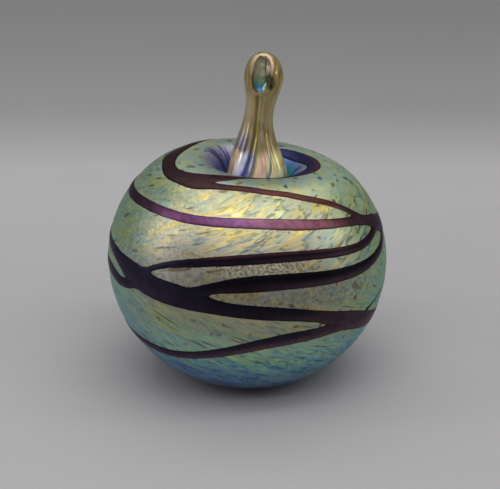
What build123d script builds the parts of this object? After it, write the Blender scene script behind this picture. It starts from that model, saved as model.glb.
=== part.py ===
from build123d import *
import math
import os

# Body, in millimetres: tangent arcs turned about the body's own axis
body_radius = 45.0        # widest radius, at the equator
belly_offset = 3.4        # distance of the belly arc's centre from the axis
base_radius = 17.3        # radius of the flat ground on the underside
crest_radius = 18.7       # radius of the rounded crest that rings the dimple
crest_rise = 32.6         # height of the crest above the equator
shoulder_fullness = 0.84  # crest arc as a share of the span from crest to equator
lip_slope = 62.0          # steepest slope of the dimple's wall, degrees
hollow_arc = 4.0          # hollow round the dimple's floor
dimple_depth = 12.5       # crest down to the dimple's floor
body_lean = 4.4           # lean of the body's axis towards +X, degrees

# Layers of glass
casing_wall = 3.6         # lustre gather over the dark core
core_wall = 3.0           # wall of the blown core
bubble_lip = 1.2          # radius of the fold of the bubble under the crest
base_wall = 1.5           # casing left under the core after grinding
neck_bore = 3.2           # radius of the hole left where the blowpipe was cracked off
pontil_radius = 8.0       # ground dish in the middle of the base
pontil_depth = 0.5

# Threads: dark trails laid round the casing and melted down to a low crown
thread_width = 3.0        # width of a plain stretch of thread
thread_crown = 0.5        # height of a thread along its middle
thread_edge = 0.15        # height of its edges
thread_seat = 0.12        # clearance between a thread and the casing under it
thread_margin = 1.0       # extra height of a thread where it trims one laid after it
thread_step = 5.0         # spacing of the sections along a thread

# Stem: a bit of amber glass dropped into the dimple and drawn up
foot_radius = 10.4        # at the dimple's floor, before the dimple shapes it
collar_radius = 8.7       # level with the crest
neck_radius = 4.4
knob_radius = 6.0
tip_radius = 1.2
neck_height = 16.5        # heights above the crest
knob_height = 26.9
stem_height = 35.4
foot_shift = 1.3          # shift of the foot towards +X from the body's axis
neck_shift = -0.4
knob_shift = 0.4
flute_count = 6
flute_depth = 0.09        # flute depth as a share of the radius, at the foot
flute_twist = 40.0        # turn of the flutes from foot to knob, degrees
stem_sections = 14
points_per_flute = 4
seal_gap = 0.05           # between the plug under the stem and the neck bore

# Sizes that follow from the ones above
belly_arc = body_radius - belly_offset
equator_height = math.sqrt(belly_arc**2 - (base_radius - belly_offset) ** 2)
total_wall = casing_wall + core_wall
lip_arc = total_wall + bubble_lip
crest_span = body_radius - crest_radius
crest_arc = shoulder_fullness * crest_span
crest_centre = crest_rise - crest_arc
shoulder_arc = (crest_span**2 + crest_centre**2 - crest_arc**2) / (2 * (crest_span - crest_arc))
shoulder_centre = body_radius - shoulder_arc
shoulder_angle = math.degrees(math.atan2(crest_centre, crest_radius - shoulder_centre))
slope_sine = math.sin(math.radians(lip_slope))
slope_cosine = math.cos(math.radians(lip_slope))
cone_length = (dimple_depth - (lip_arc + hollow_arc) * (1 - slope_cosine)) / slope_sine
floor_rise = crest_rise - dimple_depth
floor_radius = crest_radius - (lip_arc + hollow_arc) * slope_sine - cone_length * slope_cosine
reach = 2 * (body_radius + stem_height)

# Threads as knots: degrees round from the front, level and width. Level 0 is the equator and
# level 100 the top of the crest, measured along the surface. Width is a share of thread_width.
rim_knots = [(170, 110, 0.5), (150, 108, 1.2), (125, 106, 1.7), (100, 102, 1.9), (80, 100.3, 1.4),
             (60, 103, 1.3), (40, 104, 0.7), (20, 105, 0.5), (0, 103.7, 0.5), (-20, 99.2, 0.8),
             (-30, 95, 1.2), (-40, 87.5, 1.7), (-50, 82, 2.0), (-65, 78.7, 1.7), (-85, 81, 1.6),
             (-100, 83, 2.0), (-115, 86.2, 1.5), (-130, 85, 1.3), (-148, 79, 1.1), (-165, 68, 1.0),
             (-180, 56, 0.9), (-193, 45, 1.0)]
shoulder_knots = [(-50, 78.5, 1.3), (-40, 80, 1.6), (-30, 82, 1.5), (-20, 84.3, 1.3), (-8, 85, 0.9),
                  (10, 83.4, 0.75), (20, 81.9, 0.6), (30, 77.6, 0.6), (40, 72.6, 0.6), (50, 64.8, 0.6),
                  (56, 58, 0.7), (62, 50, 0.9)]
upper_knots = [(88, 36, 1.6), (80, 39, 1.7), (72, 43.5, 1.7), (60, 49.7, 1.35), (45, 54, 1.05),
               (25, 57.3, 1.15), (0, 57.9, 1.15), (-30, 54, 1.05), (-60, 51.2, 1.05), (-90, 47.5, 1.0),
               (-135, 46.5, 0.95), (-180, 43, 0.95), (-215, 39.5, 1.0), (-240, 36, 1.1), (-262, 34.5, 1.2)]
fine_knots = [(74, 42.5, 0.9), (65, 39, 0.75), (55, 35.9, 0.85), (40, 36, 0.9), (20, 37.2, 1.0),
              (0, 35.2, 1.0), (-15, 30.3, 0.85), (-27, 25.4, 0.65), (-37, 19.4, 0.5), (-43, 13.8, 0.5),
              (-47, 9, 0.7)]
middle_knots = [(88, 36, 1.0), (82, 33, 1.0), (77, 28.5, 1.0), (68, 24.5, 1.0), (50, 21.2, 1.15),
                (30, 20.5, 1.35), (10, 21.6, 1.55), (-6, 18.5, 1.5), (-15, 13, 1.4), (-24, 5.5, 1.6)]
main_knots = [(-286, 43, 1.7), (-276, 37.5, 1.7), (-262, 34, 1.5), (-245, 31, 1.2), (-225, 26, 1.05),
              (-195, 20.5, 1.0), (-150, 16.2, 1.0), (-110, 13.6, 1.0), (-78, 12.3, 1.0), (-62, 9, 1.5),
              (-50, 5.5, 2.5), (-38, 4, 2.4), (-26, 2, 2.0), (-14, 0.5, 1.5), (5, -1.1, 1.4),
              (22, -3.2, 1.4), (36, -8.4, 1.6), (46, -12.8, 2.3), (58, -17.5, 2.1), (75, -26, 2.0),
              (92, -30, 1.7), (106, -32, 1.3)]
link_knots = [(-53, -0.5, 1.3), (-62, -5, 1.0), (-75, -6.7, 0.85), (-110, -7.5, 0.85), (-150, -10.5, 0.85),
              (-190, -16.5, 0.85), (-225, -23, 0.9), (-250, -28.5, 1.1), (-264, -30, 1.2)]
lower_knots = [(44, -14.5, 1.6), (34, -16.2, 1.4), (20, -19, 1.4), (8, -23, 1.3), (-5, -31, 1.15),
               (-20, -40.6, 1.0), (-35, -48, 1.05), (-50, -51, 1.15), (-75, -50.5, 1.15), (-110, -49.5, 1.1),
               (-150, -47, 1.1), (-190, -44, 1.05), (-225, -39, 1.1), (-250, -34.5, 1.2), (-264, -31.5, 1.3)]
hair_knots = [(58, -12.5, 0.5), (65, -9, 0.3), (73, -5.8, 0.25), (80, -3.5, 0.2)]


def outline(grow):
    """Edges of the body's half outline from the equator to the dimple's floor, grown by grow."""
    shoulder = CenterArc((shoulder_centre, 0), shoulder_arc + grow, 0, shoulder_angle)
    crest = CenterArc((crest_radius, crest_centre), crest_arc + grow, shoulder_angle, 90 - shoulder_angle)
    lip = CenterArc((crest_radius, crest_rise - lip_arc), lip_arc + grow, 90, lip_slope)
    hollow = CenterArc((floor_radius, floor_rise + hollow_arc), hollow_arc - grow, -90, lip_slope)
    cone = Line(lip @ 1, hollow @ 1)
    return [shoulder, crest, lip, cone, hollow]


def lean(shape):
    """Set a shape made about the body's own axis onto the leaning axis, above the base."""
    return Pos(0, 0, equator_height) * Rot(0, body_lean, 0) * shape


def above(shape, height):
    """The part of a shape that lies above a level plane."""
    return shape - Pos(0, 0, height - reach / 2) * Box(reach, reach, reach)


def body_solid(grow):
    """Solid inside the body's outline, grown by grow, leaning and not yet cut flat."""
    upper = outline(grow)
    belly = CenterArc((belly_offset, 0), belly_arc + grow, -90, 90)
    pole = Line((0, -belly_arc - grow), belly @ 0)
    floor = Line(upper[-1] @ 0, (0, floor_rise + grow))
    axis = Line(floor @ 1, pole @ 0)
    face = make_face(upper + [belly, pole, floor, axis])
    return lean(revolve(Plane.XZ * face, Axis.Z))


side_above = Plane.XZ * Wire(outline(0))
side_below = Plane.XZ * CenterArc((belly_offset, 0), belly_arc, 0, -90)
level_length = sum(edge.length for edge in outline(0)[:2]) / 100


def surface_place(turn, level):
    """Point on the body and the outward direction there, before the lean."""
    side = side_above if level >= 0 else side_below
    distance = abs(level) * level_length
    point = side.position_at(distance, position_mode=PositionMode.LENGTH)
    along = side.tangent_at(distance, position_mode=PositionMode.LENGTH)
    up = along if level >= 0 else -along
    out = Vector(up.Z, 0, -up.X)
    spin = turn - 90
    return point.rotate(Axis.Z, spin), out.rotate(Axis.Z, spin)


def thread_face(plane, width, sag, margin):
    """Section of a thread: it bends down by sag at its edges, as the body does under it."""
    half = width / 2
    low = -margin
    bottom = Spline((-half, low - sag), (0, low), (half, low - sag))
    edge = Line(bottom @ 1, (half, thread_edge + margin - sag))
    top = Spline(edge @ 1, (0, thread_crown + margin), (-half, thread_edge + margin - sag))
    return plane * make_face([bottom, edge, top, Line(top @ 1, bottom @ 0)])


def edge_sag(station, point, out, half):
    """How far the body falls away, on average, at a half width to either side of a point."""
    east = Vector(0, 0, 1).cross(point).normalized()
    turn = math.degrees(half.dot(east) / math.hypot(point.X, point.Y))
    level = half.dot(out.cross(east)) / level_length
    one = surface_place(station.X + turn, station.Y + level)[0]
    other = surface_place(station.X - turn, station.Y - level)[0]
    return (point - (one + other) / 2).dot(out)


def thread_bar(knots, margin):
    """Thread laid over the body through its knots, made taller and deeper by a margin."""
    guide = Spline(*knots)
    rough = [surface_place(turn, level)[0] for turn, level, share in knots]
    length = sum((b - a).length for a, b in zip(rough, rough[1:]))
    count = math.ceil(length / thread_step)
    stations = [guide @ (index / count) for index in range(count + 1)]
    places = [surface_place(station.X, station.Y) for station in stations]
    sections = []
    for index, (point, out) in enumerate(places):
        before = places[max(index - 1, 0)][0]
        after = places[min(index + 1, count)][0]
        across = out.cross(after - before).normalized()
        plane = Plane(origin=point + out * thread_seat, x_dir=across, z_dir=across.cross(out))
        width = thread_width * stations[index].Z
        sag = edge_sag(stations[index], point, out, across * width / 2)
        sections.append(thread_face(plane, width, sag, margin))
    return lean(loft(sections))


def stem_outline():
    """Curve of the stem's radius (X), shift (Y) and height above the crest (Z)."""
    return Spline(
        (foot_radius, foot_shift, -dimple_depth),
        (collar_radius, foot_shift / 2, 0),
        (neck_radius, neck_shift, neck_height),
        (knob_radius, knob_shift, knob_height),
        (tip_radius, knob_shift, stem_height),
        tangents=[(-foot_shift, 0, dimple_depth), (-knob_radius, 0, 0)],
    )


def stem_section(curve, share):
    """Fluted face across the stem at a share of the way up its outline."""
    station = curve @ share
    twist = flute_twist * share
    depth = flute_depth * (1 - share)
    count = flute_count * points_per_flute
    points = []
    for index in range(count):
        turn = 360 * index / count
        radius = station.X * (1 + depth * math.cos(math.radians(flute_count * turn)))
        points.append(Vector(radius, 0, 0).rotate(Axis.Z, turn + twist))
    face = make_face(Spline(*points, periodic=True))
    return Pos(station.Y, 0, crest_rise + station.Z) * face


def make_stem(body):
    """Drawn stem whose foot fills the dimple, with a plug in the neck bore."""
    curve = stem_outline()
    shares = [index / (stem_sections - 1) for index in range(stem_sections)]
    drawn = lean(loft([stem_section(curve, share) for share in shares]))
    plug_top = floor_rise + hollow_arc
    plug_length = plug_top - floor_rise + total_wall
    plug = lean(Pos(0, 0, plug_top - plug_length / 2) * Cylinder(neck_bore - seal_gap, plug_length))
    return drawn - body + plug


def make_trails():
    """Each thread in the order it was laid, trimmed by the earlier threads that it runs into."""
    routes = {
        "main_trail": (main_knots, []),
        "upper_trail": (upper_knots, ["main_trail"]),
        "rim_trail": (rim_knots, ["upper_trail"]),
        "lower_trail": (lower_knots, ["main_trail"]),
        "middle_trail": (middle_knots, ["main_trail", "upper_trail"]),
        "fine_trail": (fine_knots, ["main_trail", "upper_trail"]),
        "shoulder_trail": (shoulder_knots, ["rim_trail", "upper_trail"]),
        "link_trail": (link_knots, ["main_trail", "lower_trail"]),
        "hair_trail": (hair_knots, ["main_trail"]),
    }
    trails = {}
    for name, (knots, earlier) in routes.items():
        trails[name] = thread_bar(knots, 0)
        for other in earlier:
            trails[name] -= thread_bar(routes[other][0], thread_margin)
    return trails


body = body_solid(0)
core_blank = body_solid(-casing_wall)
bore = lean(Pos(0, 0, floor_rise) * Cylinder(neck_bore, 4 * total_wall))
dish_sphere = (pontil_radius**2 + pontil_depth**2) / (2 * pontil_depth)
dish = Pos(0, 0, pontil_depth - dish_sphere) * Sphere(dish_sphere)

core = above(core_blank, base_wall)
trails = make_trails()
casing = above(body, 0) - core - bore - dish
core = core - body_solid(-total_wall) - bore
stem = make_stem(body - bore)

os.makedirs("parts", exist_ok=True)
nodes = {"core": core, "lustre_casing": casing, "stem": stem} | trails
for name, shape in nodes.items():
    export_step(shape, f"parts/{name}.step")
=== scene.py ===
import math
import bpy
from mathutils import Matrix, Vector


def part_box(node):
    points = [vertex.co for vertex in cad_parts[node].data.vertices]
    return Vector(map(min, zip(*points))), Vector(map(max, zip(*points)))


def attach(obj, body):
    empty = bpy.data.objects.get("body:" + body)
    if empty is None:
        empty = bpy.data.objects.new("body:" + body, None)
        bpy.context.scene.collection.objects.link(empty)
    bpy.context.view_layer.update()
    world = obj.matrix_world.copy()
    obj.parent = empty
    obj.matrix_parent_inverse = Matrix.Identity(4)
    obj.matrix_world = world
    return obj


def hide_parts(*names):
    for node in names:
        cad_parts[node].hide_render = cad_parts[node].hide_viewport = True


bl_info = {
    "name": "Lustre glass apple",
    "version": (1, 0, 0),
    "blender": (4, 5, 0),
    "location": "3D View > Sidebar > Glass apple",
    "description": "Dresses a blown glass apple: lustre body, melted threads, drawn stem and a plain stage",
    "category": "Object",
}

import bpy
import numpy as np
from bpy.props import FloatProperty, FloatVectorProperty, IntProperty, PointerProperty
from mathutils import Vector

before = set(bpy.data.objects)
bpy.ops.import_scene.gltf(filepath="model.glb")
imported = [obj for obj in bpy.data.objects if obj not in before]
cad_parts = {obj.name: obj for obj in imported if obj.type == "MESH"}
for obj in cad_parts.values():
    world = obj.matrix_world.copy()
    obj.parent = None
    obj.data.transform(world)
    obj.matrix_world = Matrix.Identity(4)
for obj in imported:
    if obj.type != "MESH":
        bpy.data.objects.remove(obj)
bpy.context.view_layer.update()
MM = 0.001
FULL_TURN = 2 * math.pi
QUARTER = math.pi / 2

# The body's radius, in millimetres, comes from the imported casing
CASING_LOW, CASING_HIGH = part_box("lustre_casing")
BODY_RADIUS = (CASING_HIGH.y - CASING_LOW.y) / 2 / MM

# Threads as knots: degrees round from the front, level and width. Level 0 is the equator and
# level 100 the top of the crest, measured along the surface. Width is a share of the plain width.
THREAD_KNOTS = {
    "rim_trail": [
        (170, 110, 0.5), (150, 108, 1.2), (125, 106, 1.7), (100, 102, 1.9), (80, 100.3, 1.4),
        (60, 103, 1.3), (40, 104, 0.7), (20, 105, 0.5), (0, 103.4, 0.55), (-11, 101.2, 0.65),
        (-20, 97.6, 1.05), (-27, 94.2, 1.4), (-40, 87.5, 1.7), (-50, 82, 2.0), (-65, 78.7, 1.7),
        (-85, 81, 1.6), (-100, 83, 2.0), (-115, 86.2, 1.5), (-130, 85, 1.3), (-148, 79, 1.1),
        (-165, 68, 1.0), (-180, 56, 0.9), (-193, 45, 1.0),
    ],
    "shoulder_trail": [
        (-50, 78.5, 1.3), (-40, 80, 1.6), (-30, 82.2, 1.15), (-20, 84.1, 0.95), (-8, 85.3, 0.97),
        (10, 83.2, 0.9), (20, 81.2, 0.88), (30, 76.9, 0.9), (40, 72, 0.85), (50, 65, 0.75),
        (56, 59.2, 0.7), (63, 50.5, 0.9),
    ],
    "upper_trail": [
        (88, 34, 1.6), (80, 37.5, 1.7), (72, 44, 1.4), (60, 50.3, 1.08), (45, 54, 1.02),
        (25, 57, 1.22), (0, 57.9, 1.15), (-30, 54, 1.05), (-60, 51.2, 1.05), (-90, 47.5, 1.0),
        (-135, 46.5, 0.95), (-180, 43, 0.95), (-215, 39.5, 1.0), (-240, 36, 1.1), (-262, 34.5, 1.2),
    ],
    "fine_trail": [
        (77, 41, 0.9), (70, 38.8, 0.95), (63, 36.4, 0.95), (55, 35, 0.92), (40, 35.7, 0.97),
        (20, 36.8, 1.06), (0, 34.4, 1.1), (-15, 30, 1.0), (-27, 25, 0.85), (-37, 19.1, 0.65),
        (-43, 13.6, 0.6), (-47, 9, 0.7),
    ],
    "middle_trail": [
        (88, 35, 1.0), (82, 32, 1.0), (77, 27.7, 1.0), (68, 23.6, 1.0), (50, 20.8, 1.28),
        (30, 20.9, 1.5), (10, 20.1, 1.68), (-6, 16.4, 1.52), (-15, 12.2, 1.15), (-24, 5.0, 1.3),
    ],
    "main_trail": [
        (-286, 43, 1.7), (-276, 37.5, 1.7), (-262, 34, 1.5), (-245, 31, 1.2), (-225, 26, 1.05),
        (-195, 20.5, 1.0), (-150, 16.2, 1.0), (-110, 13.2, 1.0), (-80, 11, 1.05), (-66, 9.4, 1.42),
        (-58, 7.2, 2.05), (-50, 5.2, 2.55), (-38, 2.6, 2.5), (-26, 2.4, 2.42), (-14, 0.7, 1.72),
        (5, -0.6, 1.52), (22, -3.1, 1.4), (36, -8.6, 1.6), (46, -14.4, 2.25), (58, -20.6, 2.05),
        (75, -27.5, 2.0), (92, -30, 1.7), (106, -32, 1.3),
    ],
    "link_trail": [
        (-50, 0.5, 1.2), (-56, -4.4, 1.1), (-62, -6.1, 1.15), (-69, -5.2, 1.4), (-78, -4.6, 1.3),
        (-110, -7.2, 1.0), (-150, -10.5, 0.85), (-190, -16.5, 0.85), (-225, -23, 0.9),
        (-250, -28.5, 1.1), (-264, -30, 1.2),
    ],
    "lower_trail": [
        (44, -16.4, 1.45), (34, -17.8, 1.38), (20, -20.1, 1.54), (8, -24.2, 1.45), (-5, -32.2, 1.28),
        (-20, -41.8, 1.15), (-35, -48.8, 1.2), (-50, -51, 1.28), (-75, -50.5, 1.2), (-110, -49.5, 1.1),
        (-150, -47, 1.1), (-190, -44, 1.05), (-225, -39, 1.1), (-250, -34.5, 1.2), (-264, -31.5, 1.3),
    ],
    "hair_trail": [(58, -12.5, 0.5), (65, -9, 0.3), (73, -5.8, 0.25), (80, -3.5, 0.2)],
}

# Threads that each one runs into, where the two melt together
THREAD_MEETS = {
    "rim_trail": ["shoulder_trail", "upper_trail"],
    "shoulder_trail": ["rim_trail", "upper_trail"],
    "upper_trail": ["main_trail", "rim_trail", "shoulder_trail", "fine_trail", "middle_trail"],
    "fine_trail": ["main_trail", "upper_trail"],
    "middle_trail": ["main_trail", "upper_trail"],
    "main_trail": ["upper_trail", "fine_trail", "middle_trail", "link_trail", "lower_trail", "hair_trail"],
    "link_trail": ["main_trail", "lower_trail"],
    "lower_trail": ["main_trail", "link_trail"],
    "hair_trail": ["main_trail"],
}

# Sizes of a thread that its tree takes, and the step along its knots. Then, in edge widths and crowns:
# how far its mesh goes on past its edge, how steeply it falls there, and how deep its tongue dives.
THREAD_INPUTS = ["Crown", "Edge", "Fillet", "Overlap", "Ripple", "Ripple length"]
THREAD_STEP = 0.35
THREAD_SKIRT, SKIRT_FALL, TONGUE_DIVE = 0.75, 2.0, 0.9

# Stem as knots in millimetres: height above the crest, shift towards +X from the axis, radius
STEM_KNOTS = [
    (-10.5, 1.3, 10.6), (-5, 1.15, 9.8), (0, 0.7, 8.75), (4, 0.2, 7.5), (9.3, -0.15, 5.7),
    (13.2, -0.15, 4.85), (17.1, 0.05, 4.65), (21, 0.35, 5.2), (25, 0.5, 6.0), (27, 0.5, 6.2),
    (30.7, 0.35, 5.5), (32.8, 0.3, 4.5), (34.6, 0.2, 2.4), (35.4, 0.15, 0),
]
STEM_STEP = 0.05

# Radii of the stem in millimetres: below the first its relief fades, the next is the least that it has,
# and its streaks are laid out on the last
RELIEF_RADIUS, LEAST_RADIUS, STREAK_RADIUS = 3, 0.02, 6

# Valleys down the stem: degrees round from the front at four heights, then the depth there as a share.
# They end between two heights, and their sides fall off by a power of the angle.
VALLEY_HEIGHTS = (-6, 2, 9, 22)
STEM_VALLEYS = [
    ((-36, -19, -9, -14), (0.9, 1.1, 1.0, 0.7)),
    ((-74, -60, -50, -46), (0.8, 0.6, 0.3, 0.2)),
    ((17, 20, 12, 8), (0.8, 0.6, 0.25, 0.1)),
    ((46, 42, 36, 32), (0.7, 0.5, 0.2, 0.2)),
    ((76, 68, 60, 54), (0.7, 0.5, 0.3, 0.1)),
    ((112, 100, 92, 88), (0.9, 0.7, 0.3, 0.2)),
    ((150, 140, 132, 128), (0.8, 0.5, 0.2, 0.1)),
    ((188, 178, 170, 166), (0.9, 0.8, 0.6, 0.4)),
    ((-112, -104, -98, -94), (0.8, 0.6, 0.3, 0.2)),
    ((-142, -138, -134, -130), (0.7, 0.5, 0.2, 0.1)),
]
VALLEY_END, VALLEY_POWER = (20, 24), 1.3

# Knob in millimetres and degrees: the drop-shaped hollow, the dent beside it and the rope round its top.
# A ring of 1 is the outline of the drop, which turns from round to square by its power as it rises.
HOLLOW_HEIGHT, HOLLOW_TURN, HOLLOW_HALF_WIDTH = 28.4, -12, 2.9
HOLLOW_ABOVE, HOLLOW_BELOW = 7.0, 5.0
HOLLOW_RISE, HOLLOW_POWERS = (0, 2.5), (2, 4)
HOLLOW_RING, HOLLOW_SLOPE = 1.20, 0.62
CURL_HEIGHTS = (29, 33)
DENT_HEIGHT, DENT_HALF_HEIGHT = 26.9, 3.4
DENT_TURN, DENT_HALF_TURN = 23, 19
DENT_EDGE, DENT_SHARE = 1.2, 0.35
ROPE_RING, ROPE_WIDTH, ROPE_HEIGHTS = 1.22, 0.16, (27, 31)

# Lamps: name, place from the body's middle, width and length in metres, setting and share of its power
LAMPS = [
    ("key", (0.10, -0.30, 0.85), (1.5, 0.45), "key_power", 0.5),
    ("key_strip", (0.10, -0.30, 0.85), (1.5, 0.05), "key_power", 0.5),
    ("front", (0.10, -0.60, 0.70), (1.5, 0.45), "front_power", 0.5),
    ("front_strip", (0.10, -0.60, 0.70), (1.5, 0.05), "front_power", 0.5),
    ("low", (0.0, -0.97, 0.26), (1.4, 0.3), "low_power", 1.0),
    ("ceiling", (0.0, 0.15, 1.30), (1.6, 1.6), "ceiling_power", 1.0),
    ("back", (0.0, 0.55, 0.90), (1.6, 0.5), "back_power", 1.0),
    ("left", (-0.90, -0.10, 0.50), (0.8, 0.8), "side_power", 0.6),
    ("left_strip", (-0.90, -0.10, 0.40), (0.06, 0.8), "side_power", 0.4),
    ("right", (0.90, -0.10, 0.50), (0.8, 0.8), "side_power", 0.5),
    ("right_strip", (0.90, -0.10, 0.40), (0.06, 0.8), "side_power", 0.3),
]

# Sweep in metres: front edge, start and radius of the bend, top edge and half width, then its painted shades
# by the distance back and up, which stand in for light that falls off over the paper
SWEEP_FRONT, SWEEP_BACK, SWEEP_BEND, SWEEP_TOP, SWEEP_HALF = -1.4, 0.18, 0.14, 0.35, 1.6
BEND_STEPS = 24
SWEEP_PAINTED_SHADES = [
    (0.0, 1.01), (0.08, 1.01), (0.12, 1.06), (0.17, 1.16), (0.20, 1.16), (0.26, 0.80), (0.34, 0.65),
    (0.60, 0.58),
]

ROOM_COLOUR = (0.94, 0.96, 1.0, 1.0)

# Frame of the photograph in pixels: its width, its middle, and where the body's middle lies in it
PHOTO_WIDTH = 500
PHOTO_MIDDLE = (250, 244.5)
BODY_MIDDLE = (247.4, 255.2)


def length_prop(name, description, millimetres):
    return FloatProperty(name=name, description=description, default=millimetres * MM, unit="LENGTH")


def angle_prop(name, description, degrees):
    return FloatProperty(name=name, description=description, default=math.radians(degrees), subtype="ANGLE")


def power_prop(name, description, watts):
    return FloatProperty(name=name, description=description, default=watts, unit="POWER")


def count_prop(name, description, number):
    return IntProperty(name=name, description=description, default=number, min=24)


def colour_prop(name, description, *default):
    return FloatVectorProperty(
        name=name, description=description, default=default, subtype="COLOR", size=3, min=0, max=1)


class BodySizes(bpy.types.PropertyGroup):
    """Sizes of the turned glass body."""

    radius: length_prop("Radius", "Widest radius, at the equator", BODY_RADIUS)
    belly_offset: length_prop("Belly offset", "Distance of the belly arc's centre from the axis", 3.4)
    base_radius: length_prop("Base radius", "Radius of the flat ground on the underside", 17.3)
    crest_radius: length_prop("Crest radius", "Radius of the crest that rings the dimple", 18.7)
    crest_rise: length_prop("Crest rise", "Height of the crest above the equator", 32.6)
    shoulder_fullness: FloatProperty(
        name="Shoulder fullness", description="Crest arc as a share of the span from crest to equator",
        default=0.84, min=0.3, max=0.95, subtype="FACTOR")
    lip_arc: length_prop("Lip arc", "Radius of the roll from the crest into the dimple", 7.8)
    lip_slope: angle_prop("Lip slope", "Steepest slope of the dimple's wall", 62)
    hollow_arc: length_prop("Hollow arc", "Radius of the hollow round the dimple's floor", 4)
    dimple_depth: length_prop("Dimple depth", "Depth of the dimple below the crest", 12.5)
    lean: angle_prop("Lean", "Lean of the body's axis to the right", 4.4)
    dish_radius: length_prop("Dish radius", "Radius of the ground dish under the base", 8)
    dish_depth: length_prop("Dish depth", "Depth of the ground dish under the base", 0.5)
    segments: count_prop("Segments", "Faces round the body", 320)
    rows: count_prop("Rows", "Faces from the base to the dimple's floor", 230)


class ThreadSizes(bpy.types.PropertyGroup):
    """Sizes of the melted threads."""

    width: length_prop("Width", "Width of a plain stretch of thread", 3)
    crown: length_prop("Crown", "Height of a thread above the body", 0.16)
    edge: length_prop("Edge", "Width of a thread's rounded edge", 0.9)
    fillet: length_prop("Fillet", "Reach of the web where two threads melt together", 1.8)
    overlap: length_prop("Overlap", "Length of the tongue that runs under a thread it meets", 1.2)
    ripple: length_prop("Ripple", "Unevenness of a thread's edges", 0.34)
    ripple_length: length_prop("Ripple length", "Length of one ripple of the edge", 2.6)
    cell: length_prop("Cell", "Size of a face of a thread's mesh", 0.42)
    thickness: length_prop("Thickness", "Thickness of a thread's glass", 0.6)


class StemSizes(bpy.types.PropertyGroup):
    """Sizes of the drawn stem."""

    valley_depth: length_prop("Valley depth", "Depth of the valleys between the lobes of the foot", 1.0)
    valley_width: angle_prop("Valley width", "Half width of a valley, as an angle round the stem", 8)
    recess_depth: length_prop("Recess depth", "Depth of the drop-shaped hollow in the knob", 1.9)
    rope_height: length_prop("Rope height", "Height of the folded rope round the hollow", 0.3)
    segments: count_prop("Segments", "Faces round the stem", 160)
    rows: count_prop("Rows", "Faces from foot to tip", 220)


class GlassColours(bpy.types.PropertyGroup):
    """Colours of the glasses."""

    gold: colour_prop("Gold", "Lustre of the upper body", 0.59, 0.57, 0.40)
    sage: colour_prop("Sage", "Lustre of the crest and the waist", 0.41, 0.49, 0.33)
    teal: colour_prop("Teal", "Lustre below the waist", 0.26, 0.47, 0.43)
    blue: colour_prop("Blue", "Lustre near the base", 0.15, 0.32, 0.53)
    thread: colour_prop("Thread", "Dark glass of the threads", 0.007, 0.0055, 0.010)
    amber: colour_prop("Amber", "Glass of the stem", 0.46, 0.33, 0.11)


class StageSettings(bpy.types.PropertyGroup):
    """Floor, lamps and camera."""

    floor: colour_prop("Floor", "Colour of the floor and backdrop", 0.39, 0.382, 0.39)
    key_power: power_prop("Key power", "Power of the wide lamp overhead", 2.6)
    front_power: power_prop("Front power", "Power of the wide lamp in front", 2.9)
    low_power: power_prop("Low power", "Power of the faint lamp low in front", 0.6)
    ceiling_power: power_prop("Ceiling power", "Power of the large lamp under the ceiling", 9.6)
    back_power: power_prop("Back power", "Power of the lamp behind", 2.0)
    side_power: power_prop("Side power", "Power of the lamps at the sides", 2.6)
    room: FloatProperty(name="Room", description="Strength of the even light of the room", default=0.02)
    camera_distance: length_prop("Camera distance", "From the body's middle to the camera", 500)
    camera_height: angle_prop("Camera height", "Angle of the camera above level", 22)
    lens: FloatProperty(name="Lens", description="Focal length", default=110.9, unit="CAMERA")


class AppleSettings(bpy.types.PropertyGroup):
    """All settings of the glass apple."""

    body: PointerProperty(type=BodySizes)
    threads: PointerProperty(type=ThreadSizes)
    stem: PointerProperty(type=StemSizes)
    colours: PointerProperty(type=GlassColours)
    stage: PointerProperty(type=StageSettings)


# Node trees

# Sockets of a Mix node that mixes colours: its share, its two colours and its result
MIX_SHARE, MIX_ONE, MIX_OTHER, MIX_RESULT = 0, 6, 7, 2


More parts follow.
